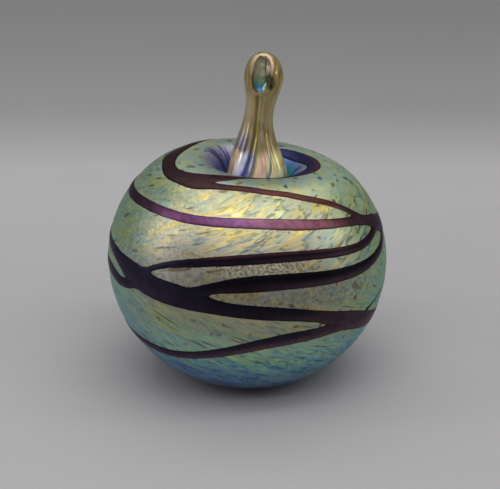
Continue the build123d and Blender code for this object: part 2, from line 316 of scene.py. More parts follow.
class Field:
    """What runs out of a node; sums and products of fields add the nodes that they need."""

    def __init__(self, nodes, socket):
        self.nodes = nodes
        self.socket = socket

    def __add__(self, other):
        return self.nodes.maths("ADD", self, other)

    def __sub__(self, other):
        return self.nodes.maths("SUBTRACT", self, other)

    def __rsub__(self, other):
        return self.nodes.maths("SUBTRACT", other, self)

    def __mul__(self, other):
        return self.nodes.maths("MULTIPLY", self, other)

    def __truediv__(self, other):
        return self.nodes.maths("DIVIDE", self, other)

    def __rtruediv__(self, other):
        return self.nodes.maths("DIVIDE", other, self)

    def __neg__(self):
        return self * -1.0

    def __abs__(self):
        return self.nodes.maths("ABSOLUTE", self)

    def parts(self):
        """X, Y and Z of a vector."""
        return self.nodes.outputs("ShaderNodeSeparateXYZ", Vector=self).values()

    def turn(self, axis, angle):
        """A vector turned about an axis."""
        return self.nodes.first("ShaderNodeVectorRotate", {"rotation_type": axis}, Vector=self, Angle=angle)

    def remap(self, low, high, to_low=0.0, to_high=1.0, kind="SMOOTHSTEP"):
        """A value carried from one range to another."""
        node = self.nodes.add("ShaderNodeMapRange", {"interpolation_type": kind, "clamp": True})
        return self.nodes.feed_all(node, self, low, high, to_low, to_high)

    def within(self, low, low_full, high_full, high):
        """A mask that is 1 between two values and fades out past them."""
        return self.remap(low, low_full) * self.remap(high, high_full)

    def ramp(self, *stops):
        """Colour ramp through stops of a value, red, green and blue, in the value's own terms."""
        low, high = stops[0][0], stops[-1][0]
        node = self.nodes.add("ShaderNodeValToRGB", Fac=self.remap(low, high, kind="LINEAR"))
        elements = node.color_ramp.elements
        while len(elements) < len(stops):
            elements.new(0.5)
        for element, (place, *colour) in zip(elements, stops):
            element.position = (place - low) / (high - low)
            element.color = (*colour, 1.0)
        return Field(self.nodes, node.outputs["Color"])

    def noise(self, scale, detail=2.0, roughness=0.5, output=0):
        """Noise over a place, about 0.5."""
        node = self.nodes.add(
            "ShaderNodeTexNoise", {"noise_dimensions": "3D"},
            Vector=self, Scale=scale, Detail=detail, Roughness=roughness)
        return Field(self.nodes, node.outputs[output])

    def drift(self, *settings):
        """Noise over a place, about zero."""
        return self.noise(*settings) - 0.5

    def swirl(self, scale):
        """Noise vector over a place, about zero."""
        return self.noise(scale, output="Color") - (0.5, 0.5, 0.5)

    def layers(self, *rows):
        """A colour with others laid over it in turn: rows of a share, a colour and, unless plain, a blend."""
        colour = self
        for share, other, *blend in rows:
            colour = self.nodes.mix(share, colour, other, *blend)
        return colour


class Builder:
    """Short way to add and join nodes in one tree."""

    def __init__(self, tree):
        self.tree = tree

    def add(self, kind, settings=None, **inputs):
        """Add a node; settings are its own values, inputs its sockets by name with _ for a space."""
        node = self.tree.nodes.new(kind)
        for key, value in (settings or {}).items():
            setattr(node, key, value)
        return self.fill(node, **inputs)

    def fill(self, node, **inputs):
        """Feed sockets of a node by name, with _ for a space."""
        for key, value in inputs.items():
            self.feed(node.inputs[key.replace("_", " ")], value)
        return node

    def feed_all(self, node, *values):
        """Feed a node's sockets in order and give its first output."""
        for socket, value in zip(node.inputs, values):
            self.feed(socket, value)
        return Field(self, node.outputs[0])

    def feed(self, socket, value):
        """Link a socket to a field, or set its own value."""
        if isinstance(value, Field):
            self.tree.links.new(value.socket, socket)
        elif socket.type == "VECTOR" and isinstance(value, (int, float)):
            socket.default_value = (value, value, value)
        elif socket.type == "RGBA":
            socket.default_value = (*value, 1.0)
        else:
            socket.default_value = value

    def outputs(self, kind, settings=None, **inputs):
        """Add a node and give its outputs by name."""
        node = self.add(kind, settings, **inputs)
        return {socket.name: Field(self, socket) for socket in node.outputs}

    def first(self, kind, settings=None, **inputs):
        """Add a node and give its first output."""
        return Field(self, self.add(kind, settings, **inputs).outputs[0])

    def maths(self, operation, *values):
        """Math node, or Vector Math where a value is a vector."""
        if not any(is_vector(value) for value in values):
            return self.feed_all(self.add("ShaderNodeMath", {"operation": operation}), *values)
        node = self.add("ShaderNodeVectorMath", {"operation": operation})
        whole = self.feed_all(node, *values)
        scalar = operation in ("DISTANCE", "LENGTH", "DOT_PRODUCT")
        return Field(self, node.outputs["Value"]) if scalar else whole

    def combine(self, x=0.0, y=0.0, z=0.0):
        return self.first("ShaderNodeCombineXYZ", X=x, Y=y, Z=z)

    def mix(self, share, one, other, blend="MIX"):
        """One colour with a share of another over it."""
        node = self.add("ShaderNodeMix", {"data_type": "RGBA", "blend_type": blend, "clamp_factor": True})
        for index, value in ((MIX_SHARE, share), (MIX_ONE, one), (MIX_OTHER, other)):
            self.feed(node.inputs[index], value)
        return Field(self, node.outputs[MIX_RESULT])

    def bump(self, height, strength, distance):
        return self.first("ShaderNodeBump", Strength=strength, Distance=distance, Height=height)

    def attribute(self, name, output="Fac"):
        """Value kept on the mesh under a name, for a material."""
        settings = {"attribute_type": "GEOMETRY", "attribute_name": name}
        return self.outputs("ShaderNodeAttribute", settings)[output]

    def group(self, name, **inputs):
        """Use of a shared node group."""
        tree = bpy.data.node_groups.get(name) or SHARED_GROUPS[name](name)
        return self.outputs("ShaderNodeGroup", {"node_tree": tree}, **inputs)

    def position(self):
        return self.first("GeometryNodeInputPosition")

    def shape_of(self, thing):
        """Geometry of an object in its own space."""
        settings = {"transform_space": "ORIGINAL"}
        return self.outputs("GeometryNodeObjectInfo", settings, Object=thing)["Geometry"]

    def store(self, geometry, **values):
        """Keep values on the points of a geometry under their names."""
        for name, value in values.items():
            kind = "FLOAT_VECTOR" if is_vector(value) else "FLOAT"
            settings = {"data_type": kind, "domain": "POINT"}
            geometry = self.first(
                "GeometryNodeStoreNamedAttribute", settings, Geometry=geometry, Name=name, Value=value)
        return geometry

    def recall(self, name, kind="FLOAT"):
        """Value kept on the geometry under a name, in a Geometry Nodes tree."""
        return self.first("GeometryNodeInputNamedAttribute", {"data_type": kind}, Name=name)


def is_vector(value):
    """Whether a field or plain value has three parts."""
    return isinstance(value, tuple) or isinstance(value, Field) and value.socket.type in ("VECTOR", "RGBA")


def new_tree(name, kind, inputs, outputs):
    """Node tree with sockets named by type; gives the tree, its builder, its inputs and its end."""
    tree = bpy.data.node_groups.new(name, kind + "NodeTree")
    for way, rows in (("INPUT", inputs), ("OUTPUT", outputs)):
        for socket_type, words in rows:
            for word in words:
                tree.interface.new_socket(word, in_out=way, socket_type="NodeSocket" + socket_type)
    nodes = Builder(tree)
    given = nodes.outputs("NodeGroupInput")
    return tree, nodes, given, nodes.add("NodeGroupOutput")


def new_object(name, data):
    """Object in the scene, at the origin."""
    made = bpy.data.objects.new(name, data)
    bpy.context.scene.collection.objects.link(made)
    return made


def add_tree(name, tree, values):
    """Piece with a Geometry Nodes tree, whose inputs are set by identifier."""
    piece = new_object(name, bpy.data.meshes.new(name))
    modifier = piece.modifiers.new(tree.name, "NODES")
    modifier.node_group = tree
    for item in tree.interface.items_tree:
        if item.in_out == "INPUT" and item.name in values:
            modifier[item.identifier] = values[item.name]
    return piece


def make_plain(piece):
    """Turn a piece with modifiers into a plain mesh."""
    bpy.context.view_layer.update()
    graph = bpy.context.evaluated_depsgraph_get()
    mesh = bpy.data.meshes.new_from_object(piece.evaluated_get(graph), depsgraph=graph)
    piece.modifiers.clear()
    piece.data = mesh
    mesh.name = piece.name


def keep_values(mesh, name, kind, field, values):
    """Keep a value for each point of a mesh."""
    layer = mesh.attributes.new(name, kind, "POINT")
    layer.data.foreach_set(field, np.asarray(values, np.float32).ravel())


def settle(piece, nodes):
    """Join a finished piece to the frame in place of its CAD nodes."""
    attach(piece, "root")
    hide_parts(*nodes)


# Shape of the body

def path_lengths(points):
    """Distance of each point from the first, along the path through them."""
    return np.r_[0, np.cumsum(np.linalg.norm(np.diff(points, axis=0), axis=1))]


def outline_arcs(body):
    """Arcs of the half outline as (centre, radius, start, stop), and the height of the dimple's floor."""
    belly = body.radius - body.belly_offset
    span = body.radius - body.crest_radius
    crest = body.shoulder_fullness * span
    crest_centre = body.crest_rise - crest
    shoulder = (span**2 + crest_centre**2 - crest**2) / (2 * (span - crest))
    shoulder_centre = body.radius - shoulder
    knee = math.atan2(crest_centre, body.crest_radius - shoulder_centre)
    sine, cosine = math.sin(body.lip_slope), math.cos(body.lip_slope)
    both = body.lip_arc + body.hollow_arc
    cone = (body.dimple_depth - both * (1 - cosine)) / sine
    floor_radius = body.crest_radius - both * sine - cone * cosine
    floor_rise = body.crest_rise - body.dimple_depth
    lip_centre = (body.crest_radius, body.crest_rise - body.lip_arc)
    arcs = [
        ((body.belly_offset, 0), belly, -QUARTER, 0),
        ((shoulder_centre, 0), shoulder, 0, knee),
        ((body.crest_radius, crest_centre), crest, knee, QUARTER),
        (lip_centre, body.lip_arc, QUARTER, QUARTER + body.lip_slope),
        ((floor_radius, floor_rise + body.hollow_arc), body.hollow_arc, body.lip_slope - QUARTER, -QUARTER),
    ]
    return arcs, floor_rise


def body_outline(body, step=0.25 * MM):
    """Points of the half outline (r, z), with the distance of each from the bottom along it."""
    arcs, floor_rise = outline_arcs(body)
    points = [np.array([[0.0, body.belly_offset - body.radius]])]
    for (centre_r, centre_z), radius, start, stop in arcs:
        count = max(4, math.ceil(abs(stop - start) * radius / step))
        angle = np.linspace(start, stop, count + 1)
        points.append(np.stack([centre_r + radius * np.cos(angle), centre_z + radius * np.sin(angle)], 1))
    line = np.concatenate([*points, [[0.0, floor_rise]]])
    line = line[np.r_[True, np.linalg.norm(np.diff(line, axis=0), axis=1) > step / 100]]
    return line, path_lengths(line)


def level_marks(body):
    """Distances along the outline of the equator, the crest and the end."""
    line, along = body_outline(body)
    equator, crest = along[np.argmax(line, axis=0)]
    return equator, crest, along[-1]


def equator_height(body):
    """Height of the equator over the ground base."""
    belly = body.radius - body.belly_offset
    return math.sqrt(belly**2 - (body.base_radius - body.belly_offset) ** 2)


def on_body(body, turn, level):
    """Points on the body in its own upright frame, for arrays of turns in degrees and levels."""
    line, along = body_outline(body)
    equator, crest, _ = level_marks(body)
    distance = equator + level * (crest - equator) / 100
    radius, height = [np.interp(distance, along, column) for column in line.T]
    angle = np.radians(turn)
    return np.stack([radius * np.sin(angle), -radius * np.cos(angle), height], 1)


def smooth_path(knots, step):
    """Natural cubic spline through rows of knots, sampled at about a step along it."""
    knots = np.array(knots, float)
    reach = path_lengths(knots)
    gap = np.diff(reach)
    count = len(reach)
    system = np.eye(count)
    bend = np.zeros_like(knots)
    for index in range(1, count - 1):
        before, after = gap[index - 1], gap[index]
        system[index, index - 1:index + 2] = before, 2 * (before + after), after
        slope_after = (knots[index + 1] - knots[index]) / after
        slope_before = (knots[index] - knots[index - 1]) / before
        bend[index] = 6 * (slope_after - slope_before)
    bend = np.linalg.solve(system, bend)
    place = np.linspace(0, reach[-1], max(2, math.ceil(reach[-1] / step)))
    left = np.clip(np.searchsorted(reach, place) - 1, 0, count - 2)
    span = gap[left][:, None]
    from_left = (place - reach[left])[:, None]
    from_right = (reach[left + 1] - place)[:, None]
    cubic = (bend[left] * from_right**3 + bend[left + 1] * from_left**3) / (6 * span)
    line_left = (knots[left] / span - bend[left] * span / 6) * from_right
    line_right = (knots[left + 1] / span - bend[left + 1] * span / 6) * from_left
    return cubic + line_left + line_right


def wrapped(angle):
    """An angle brought to within half a turn of zero."""
    return (angle + math.pi) % FULL_TURN - math.pi


def outline_curve(body):
    """Curve of the half outline in the XZ plane, for the trees that turn it."""
    line, _ = body_outline(body)
    curve = bpy.data.curves.new("body_outline", "CURVE")
    curve.dimensions = "3D"
    spline = curve.splines.new("POLY")
    spline.points.add(len(line) - 1)
    for point, (radius, height) in zip(spline.points, line):
        point.co = (radius, 0, height, 1)
    return new_object("body_outline", curve)


TURNED_INPUTS = [
    ("Object", ["Outline"]),
    ("Float", ["First turn", "Last turn", "Low share", "High share", "Equator share", "Crest share"]),
    ("Float", ["Lean", "Equator height"]),
    ("Int", ["Columns", "Rows"]),
    ("Material", ["Material"]),
]


def turned_values(body, outline, turns, reach, counts, material):
    """Values for the inputs that every turned tree has."""
    equator, crest, whole = level_marks(body)
    shares = [float(distance / whole) for distance in (*reach, equator, crest)]
    words = [word for _, row in TURNED_INPUTS for word in row]
    return dict(zip(words, (outline, *turns, *shares, body.lean, equator_height(body), *counts, material)))


def turned_grid(nodes, given):
    """Grid for the turned outline, with each point's level and upright place kept on it for the finishes.

    Gives the geometry, the upright place and the outward direction."""
    grid = nodes.first(
        "GeometryNodeMeshGrid", Size_X=1.0, Size_Y=1.0, Vertices_X=given["Columns"], Vertices_Y=given["Rows"])
    x, y, _ = nodes.position().parts()
    angle = x.remap(-0.5, 0.5, given["First turn"], given["Last turn"], "LINEAR")
    share = y.remap(-0.5, 0.5, given["Low share"], given["High share"], "LINEAR")
    sample = nodes.outputs(
        "GeometryNodeSampleCurve", {"mode": "FACTOR", "use_all_curves": True},
        Curves=nodes.shape_of(given["Outline"]), Factor=share)
    along_x, _, along_z = sample["Tangent"].parts()
    outward = nodes.combine(x=along_z, z=-along_x).turn("Z_AXIS", angle)
    place = sample["Position"].turn("Z_AXIS", angle)
    level = (share - given["Equator share"]) / (given["Crest share"] - given["Equator share"])
    grid = nodes.store(grid, level=level, body_place=place * (1 / MM))
    return grid, nodes.recall("body_place", "FLOAT_VECTOR") * MM, outward


def set_upright(nodes, place, given):
    """A place in the body's upright frame carried to the leaning body on its base."""
    return place.turn("Y_AXIS", given["Lean"]) + nodes.combine(z=given["Equator height"])


def close_tree(nodes, geometry, given, end):
    """Smooth shading, real geometry and the material, at the end of a tree."""
    smooth = nodes.first("GeometryNodeSetShadeSmooth", Geometry=geometry)
    real = nodes.first("GeometryNodeRealizeInstances", Geometry=smooth)
    painted = nodes.first("GeometryNodeSetMaterial", Geometry=real, Material=given["Material"])
    nodes.fill(end, Geometry=painted)


def body_tree():
    """Tree that turns the outline into the body, leans it and grinds its base flat."""
    inputs = TURNED_INPUTS + [("Float", ["Dish radius", "Dish depth"])]
    tree, nodes, given, end = new_tree("turned_body", "Geometry", inputs, [("Geometry", ["Geometry"])])
    grid, upright, _ = turned_grid(nodes, given)
    x, y, z = set_upright(nodes, upright, given).parts()
    across = nodes.maths("SQRT", x * x + y * y) / given["Dish radius"]
    dish = nodes.maths("MAXIMUM", 1.0 - across * across, 0.0) * given["Dish depth"]
    ground = nodes.combine(x, y, nodes.maths("MAXIMUM", z, dish))
    moved = nodes.first("GeometryNodeSetPosition", Geometry=grid, Position=ground)
    merged = nodes.first("GeometryNodeMergeByDistance", Geometry=moved, Distance=MM / 100)
    close_tree(nodes, merged, given, end)
    return tree


def thread_tree(name, others):
    """Tree that lays one melted thread over the body and webs it to the threads it meets."""
    inputs = TURNED_INPUTS + [("Object", ["Own guide", *others]), ("Float", THREAD_INPUTS)]
    tree, nodes, given, end = new_tree(name, "Geometry", inputs, [("Geometry", ["Geometry"])])
    grid, upright, outward = turned_grid(nodes, given)
    grid = nodes.store(grid, outward=outward)
    laid = nodes.first("GeometryNodeSetPosition", Geometry=grid, Position=upright)
    here = nodes.position()

    def sample(points, index, kind, value):
        settings = {"data_type": kind, "domain": "POINT"}
        return nodes.first("GeometryNodeSampleIndex", settings, Geometry=points, Value=value, Index=index)

    def reach(guide):
        """Distance outside a thread's edge, and the place across the thread, 1 at its upper edge."""
        points = nodes.shape_of(given[guide])
        nearest = nodes.first(
            "GeometryNodeSampleNearest", {"domain": "POINT"}, Geometry=points, Sample_Position=here)
        middle = sample(points, nearest, "FLOAT_VECTOR", nodes.position())
        half = sample(points, nearest, "FLOAT", nodes.recall("half_width"))
        _, _, height = (here - middle).parts()
        return nodes.maths("DISTANCE", here, middle) - half, height / half

    own, across = reach("Own guide")
    whole, rival = own, 1.0
    for other in others:
        there, _ = reach(other)
        whole = nodes.maths("SMOOTH_MIN", whole, there, given["Fillet"])
        rival = nodes.maths("MINIMUM", rival, there)
    outside = whole + here.drift(1.0 / given["Ripple length"], 2.0, 0.6) * given["Ripple"]
    beyond = (own - rival) / given["Overlap"]
    laid = nodes.store(laid, inside=-outside / given["Edge"], across=across, beyond=beyond)

    # Only the thread itself is kept, with a tongue that runs under each thread it meets
    depth, under = nodes.recall("inside"), nodes.recall("beyond")
    past, hidden = nodes.maths("LESS_THAN", depth, -THREAD_SKIRT), nodes.maths("GREATER_THAN", under, 1.0)
    gone = nodes.maths("MAXIMUM", past, hidden)
    kept = nodes.first("GeometryNodeDeleteGeometry", {"domain": "FACE"}, Geometry=laid, Selection=gone)
    up = nodes.maths("MINIMUM", nodes.maths("MAXIMUM", depth, 0.0), 1.0)
    rise = 1.0 - nodes.maths("POWER", 1.0 - up, 2.0)
    fall = nodes.maths("MINIMUM", depth, 0.0) * SKIRT_FALL
    dive = nodes.maths("MAXIMUM", under, 0.0) * -TONGUE_DIVE
    shift = nodes.recall("outward", "FLOAT_VECTOR") * ((rise + fall + dive) * given["Crown"])
    leaning = set_upright(nodes, here + shift, given)
    moved = nodes.first("GeometryNodeSetPosition", Geometry=kept, Position=leaning)
    close_tree(nodes, moved, given, end)
    return tree


# Finishes

def new_material(name):
    """Empty material: the material, its builder and its surface shader."""
    material = bpy.data.materials.new(name)
    material.use_nodes = True
    return material, Builder(material.node_tree), material.node_tree.nodes["Principled BSDF"]


def twisted_flow_group(name, blend=8.0):
    """Group that untwists the swirl of the blown glass, so that streaks stand upright in it.

    The two twists blend over a few millimetres."""
    inputs = [("Vector", ["Place"]), ("Float", ["Upper twist", "Lower twist", "Turnover"])]
    tree, nodes, given, end = new_tree(name, "Shader", inputs, [("Vector", ["Flow"])])
    _, _, height = given["Place"].parts()
    over = height - given["Turnover"]
    above = nodes.maths("SMOOTH_MAX", over, 0.0, blend)
    below = nodes.maths("SMOOTH_MAX", -over, 0.0, blend)
    angle = above * given["Upper twist"] + below * given["Lower twist"]
    nodes.fill(end, Flow=given["Place"].turn("Z_AXIS", -angle))
    return tree


def fleck_group(name):
    """Group that scatters flecks: a mask of the flecks and one of their rims."""
    inputs = [("Vector", ["Flow", "Spacing"]), ("Float", ["Size", "Share"])]
    tree, nodes, given, end = new_tree(name, "Shader", inputs, [("Float", ["Fleck", "Rim"])])
    spaced = given["Flow"] / given["Spacing"]
    bent = spaced + spaced.swirl(2.3) * 0.55
    cells = nodes.outputs("ShaderNodeTexVoronoi", {"feature": "F1"}, Vector=bent, Scale=1.0)
    chance, other_chance, _ = nodes.outputs("ShaderNodeSeparateColor", Color=cells["Color"]).values()
    present = nodes.maths("LESS_THAN", chance, given["Share"])
    near = cells["Distance"] / (given["Size"] * (other_chance + 0.45))
    nodes.fill(end, Fleck=near.remap(1.0, 0.7) * present, Rim=near.within(0.45, 0.85, 1.0, 1.6) * present)
    return tree


def glass_skin_group(name):
    """Group for the uneven skin of hand-worked glass: a height for bump and a value for gloss."""
    inputs = [("Vector", ["Place"]), ("Float", ["Grain"])]
    tree, nodes, given, end = new_tree(name, "Shader", inputs, [("Float", ["Height", "Haze"])])
    fine = given["Place"].noise(given["Grain"], 4.0, 0.65)
    nodes.fill(end, Height=given["Place"].noise(0.09) + fine * 0.12, Haze=fine)
    return tree


SHARED_GROUPS = {
    "twisted_flow": twisted_flow_group,
    "scattered_flecks": fleck_group,
    "glass_skin": glass_skin_group,
}


def bearings(nodes, place):
    """Which way a place on the body lies: 1 at the front to -1 at the back, and -1 at left to 1 at right."""
    x, y, _ = place.parts()
    radius = nodes.maths("MAXIMUM", nodes.maths("LENGTH", nodes.combine(x, y)), 0.01)
    return -y / radius, x / radius


def lustre_bands(nodes, colours, place, level, flow):
    """Film of the lustre: gold at the front and back and greener at the sides, a painted sheen for the film's
    shift of colour with angle; blue below and in the dimple.
    """
    front, side = bearings(nodes, place)
    shifted = level + flow.drift(0.07, 3.0, 0.55) * 0.2
    golden = shifted.ramp(
        (-0.90, 0.22, 0.18, 0.40), (-0.72, 0.20, 0.32, 0.62), (-0.58, *colours.blue), (-0.45, *colours.teal),
        (-0.32, 0.32, 0.50, 0.39), (-0.18, 0.31, 0.37, 0.24), (-0.08, 0.35, 0.36, 0.23),
        (0.04, 0.27, 0.26, 0.19), (0.16, 0.29, 0.28, 0.23), (0.30, 0.46, 0.44, 0.37),
        (0.42, 0.55, 0.52, 0.41), (0.58, *colours.gold), (0.76, 0.47, 0.46, 0.31),
        (0.86, 0.36, 0.40, 0.29), (0.98, 0.30, 0.36, 0.29), (1.25, 0.30, 0.33, 0.35))
    green = shifted.ramp(
        (-0.90, 0.25, 0.24, 0.44), (-0.56, 0.22, 0.34, 0.48), (-0.38, 0.26, 0.42, 0.45),
        (-0.15, 0.27, 0.40, 0.34), (0.10, 0.27, 0.37, 0.29), (0.42, 0.27, 0.37, 0.27),
        (0.65, *colours.sage), (0.88, 0.44, 0.50, 0.36), (1.00, 0.40, 0.46, 0.34), (1.25, 0.30, 0.33, 0.35))
    # Painted sheen: the film turns from gold at the front and back to green at the sides
    turned = abs(front) + place.drift(0.05) * 0.4 - side.remap(0.2, 0.8, 0.0, 0.07)
    film = nodes.mix(turned.remap(0.93, 0.42), golden, green)
    patch = flow.noise(0.2, 3.0, 0.6).ramp(
        (0.32, 0.80, 1.00, 1.14), (0.45, 0.95, 1.00, 1.04), (0.53, 1.03, 1.01, 0.95),
        (0.64, 1.22, 1.08, 0.64))
    uneven = side.ramp(
        (-0.96, 1.10, 1.09, 1.14), (-0.78, 0.93, 0.94, 0.97), (-0.50, 1.07, 1.04, 1.04),
        (-0.20, 1.05, 1.03, 1.03), (0.20, 0.98, 1.00, 1.00), (0.50, 0.98, 1.00, 1.00),
        (0.76, 1.10, 1.12, 1.00), (0.96, 1.00, 1.08, 1.10))
    upper_half = level.within(0.20, 0.34, 0.80, 0.92) * front.remap(-0.2, 0.2)
    # Painted shade: the upper half darker and bluer at the far left
    left_limb_shade = level.within(0.50, 0.62, 0.80, 0.92) * side.remap(-0.55, -0.90)

    # Painted shade: the crest a little darker at the left and right. The lower right bluer and the waist
    # paler at the left
    shade = side.ramp(
        (-0.85, 0.90, 0.92, 0.98), (-0.40, 0.82, 0.88, 1.00), (0.10, 0.93, 0.94, 0.97),
        (0.45, 0.96, 0.96, 0.97), (0.70, 0.90, 0.92, 0.95))
    top = level.remap(0.82, 0.93) * front.remap(-0.4, 0.0)
    low_right = side.remap(0.55, 0.85) * level.remap(-0.05, -0.18)
    waist = shifted.within(0.02, 0.12, 0.26, 0.40)
    pale = waist * side.remap(-0.25, -0.5, 0.0, 0.6) * front.remap(0.66, 0.84)
    colour = film.layers(
        (1.0, patch, "MULTIPLY"),
        (upper_half, uneven, "MULTIPLY"),
        (left_limb_shade, (0.72, 0.78, 0.88), "MULTIPLY"),
        (top, shade, "MULTIPLY"),
        (low_right, (0.86, 0.92, 1.08), "MULTIPLY"),
        (pale, (0.50, 0.47, 0.43)))

    # Dimple: violet to the left and blue to the right, with dark streaks that run down into it, and a painted
    # turquoise highlight deep on the right
    streak = nodes.combine(front, side, level * 0.35).noise(6.5, 3.0, 0.6)
    pit = nodes.mix(side.remap(-0.2, 0.6), (0.30, 0.27, 0.40), (0.15, 0.17, 0.55)).layers(
        # Painted turquoise highlight deep on the right of the dimple
        (level.remap(1.10, 1.18) * side.remap(0.2, 0.6), (0.09, 0.46, 0.62)),
        (level.remap(1.10, 1.20) * side.remap(-0.1, -0.5), (0.13, 0.15, 0.44)),
        (streak.remap(0.50, 0.62, 0.0, 0.9), (0.05, 0.04, 0.13)))
    depth = level + (streak - 0.5) * 0.16 + side.remap(0.1, -0.4, 0.0, 0.035)
    return nodes.mix(depth.remap(1.03, 1.13), colour, pit)


def lustre_strokes(nodes, flow, warped, eased, side):
    """Tone of the feathered strokes of the upper body, each with painted shading across it and painted glints
    at its brightest, and the masks of their outlines and cells.
    """
    frayed = warped.swirl(0.75)
    loose = warped + frayed * 1.2
    stroke_place = (eased + frayed * 1.6) / (5.4, 5.4, 3.6)
    edges = nodes.first(
        "ShaderNodeTexVoronoi", {"feature": "DISTANCE_TO_EDGE"}, Vector=stroke_place, Scale=1.0)
    cells = nodes.outputs("ShaderNodeTexVoronoi", {"feature": "F1"}, Vector=stroke_place, Scale=1.0)
    chance, warmth, _ = nodes.outputs("ShaderNodeSeparateColor", Color=cells["Color"]).values()
    along = nodes.combine(*bearings(nodes, flow))
    # Painted shading: each stroke lighter on one side of its cell and darker on the other
    slope = nodes.maths("DOT_PRODUCT", stroke_place - cells["Position"], along)
    hair = (loose / (2.0, 2.0, 2.8)).noise(1.0, 4.0, 0.66)
    value = slope * 0.34 + chance * 0.40 + (hair - 0.5) * side.remap(-0.1, 0.6, 1.45, 1.1)
    # The stops above 1 brighten the strokes into painted glints
    tone = value.ramp(
        (-0.32, 0.50, 0.60, 0.80), (-0.10, 0.82, 0.87, 0.94), (0.08, 0.98, 0.98, 0.94),
        (0.30, 1.12, 1.07, 0.90), (0.52, 1.38, 1.26, 0.84), (0.80, 1.60, 1.53, 1.28))
    tone = nodes.mix(warmth.remap(0.70, 0.95, 0.0, 0.5), tone, (1.25, 0.98, 0.55))
    outline = edges.remap(0.11, 0.03) * warped.noise(0.35, 3.0).remap(0.42, 0.60)
    dash = (loose / (2.1, 2.1, 2.2)).noise(1.0).remap(0.58, 0.66) * side.remap(-0.3, 0.4, 0.5, 0.7)
    dark = nodes.maths("MAXIMUM", outline * side.remap(-0.3, 0.3, 0.45, 0.95), dash)
    return nodes.mix(dark, tone, (0.32, 0.41, 0.55)), outline, chance


def lustre_material(colours):
    """Iridescent satin skin of the body, with feathered strokes above and fine streaks below."""
    material, nodes, shader = new_material("lustre_glass")
    place, level = nodes.attribute("body_place", "Vector"), nodes.attribute("level")
    front, side = bearings(nodes, place)
    flow, loose = [
        nodes.group("twisted_flow", Place=place, Upper_twist=upper, Lower_twist=lower, Turnover=4.0)["Flow"]
        for upper, lower in ((0.052, 0.075), (0.028, 0.040))]
    wander = flow.swirl(0.16) * 4.0
    warped, eased = flow + wander, loose + wander
    bands = lustre_bands(nodes, colours, place, level, flow)
    upper, outline, chance = lustre_strokes(nodes, flow, warped, eased, side)

    # Lower half: fine dark and bright streaks that run with the swirl, over broader clouds
    fine_place = eased / (1.5, 1.5, 1.2)
    swell = fine_place.drift(1.0, 3.0, 0.56) + fine_place.drift(0.33) * 0.5
    lower = (swell * level.remap(-0.28, -0.50, 0.62, 1.22) + 0.5).ramp(
        (0.30, 1.52, 1.40, 1.08), (0.41, 1.18, 1.16, 1.03), (0.50, 1.02, 1.02, 1.00),
        (0.58, 0.80, 0.87, 1.00), (0.66, 0.34, 0.44, 0.78))
    mottle = place.noise(0.8, 4.0, 0.72).ramp(
        (0.34, 0.44, 0.48, 0.60), (0.46, 0.90, 0.90, 0.95), (0.54, 1.08, 1.10, 1.00),
        (0.66, 1.65, 1.56, 1.18))
    calm = nodes.maths("MAXIMUM", level.remap(0.30, 0.16, 0.0, 0.75), side.remap(-0.25, -0.6, 0.0, 0.55))
    crest_level = level + side.remap(0.3, 0.8, 0.0, 0.14)
    tone = upper.layers(
        (calm, mottle),
        (crest_level.remap(0.78, 0.87, 0.0, 0.75), (1.06, 1.07, 1.10)),
        (level.remap(0.06, -0.06), lower))
    mauve = warped.noise(0.11).remap(0.50, 0.70, 0.0, 0.32) * level.remap(0.5, 0.1)
    stray = fine_place.noise(0.5, 3.0).remap(0.54, 0.66) * level.remap(-0.40, -0.60, 0.0, 0.8)

    # Salt and pepper grain where the lustre crazed between two threads at the front
    belt = level.within(0.18, 0.25, 0.32, 0.38) * side.within(-0.80, 0.0, 0.2, 0.62)
    belt = belt * front.remap(0.0, 0.4, 0.0, 0.85)
    grain = place.noise(1.5, 2.0, 0.6).remap(0.38, 0.62)
    pepper = nodes.mix(grain, (1.45, 1.40, 1.25), (0.34, 0.33, 0.36))
    pepper = nodes.mix(1.0, (0.44, 0.42, 0.33), pepper, "MULTIPLY")

    # Flecks of dark, brown and rust frit
    ticks, brown, rust, dots = [
        nodes.group("scattered_flecks", Flow=way, Spacing=spacing, Size=size, Share=share)
        for way, spacing, size, share in (
            (flow, (4.2, 4.2, 4.6), 0.17, 0.85), (flow, (5.0, 5.0, 4.6), 0.155, 0.8),
            (place, (4.2, 4.2, 3.4), 0.20, 0.85), (place, (3.5, 3.5, 3.5), 0.24, 0.85))]
    sparse = abs(front).remap(0.95, 0.65, 0.35, 0.85)
    crest = crest_level.remap(0.76, 0.84) * side.remap(-0.2, 0.4, 0.35, 0.9)
    reddish = rust["Fleck"] * level.remap(0.45, 0.2) * side.remap(-0.3, 0.4, 0.5, 1.0)
    colour = bands.layers(
        (1.0, tone, "MULTIPLY"),
        (mauve, (0.42, 0.33, 0.42)),
        (stray, colours.teal),
        (belt, pepper),
        (ticks["Fleck"] * sparse, (0.05, 0.065, 0.10)),
        (dots["Fleck"] * crest, (0.04, 0.06, 0.12)),
        (brown["Rim"] * 0.55, (0.08, 0.09, 0.10)),
        (brown["Fleck"] * 0.85, (0.22, 0.14, 0.04)),
        (reddish * 0.8, (0.15, 0.045, 0.03)))
    skin = nodes.group("glass_skin", Place=place, Grain=1.1)
    relief = skin["Height"] * 0.6 + outline * -0.10 + chance * 0.06
    nodes.fill(
        shader, Base_Color=colour, Roughness=skin["Haze"].remap(0.25, 0.75, 0.36, 0.52, "LINEAR"),
        Normal=nodes.bump(relief, 0.5, 0.5 * MM), Metallic=0.8, Specular_Tint=(0.62, 0.86, 0.80))
    return material


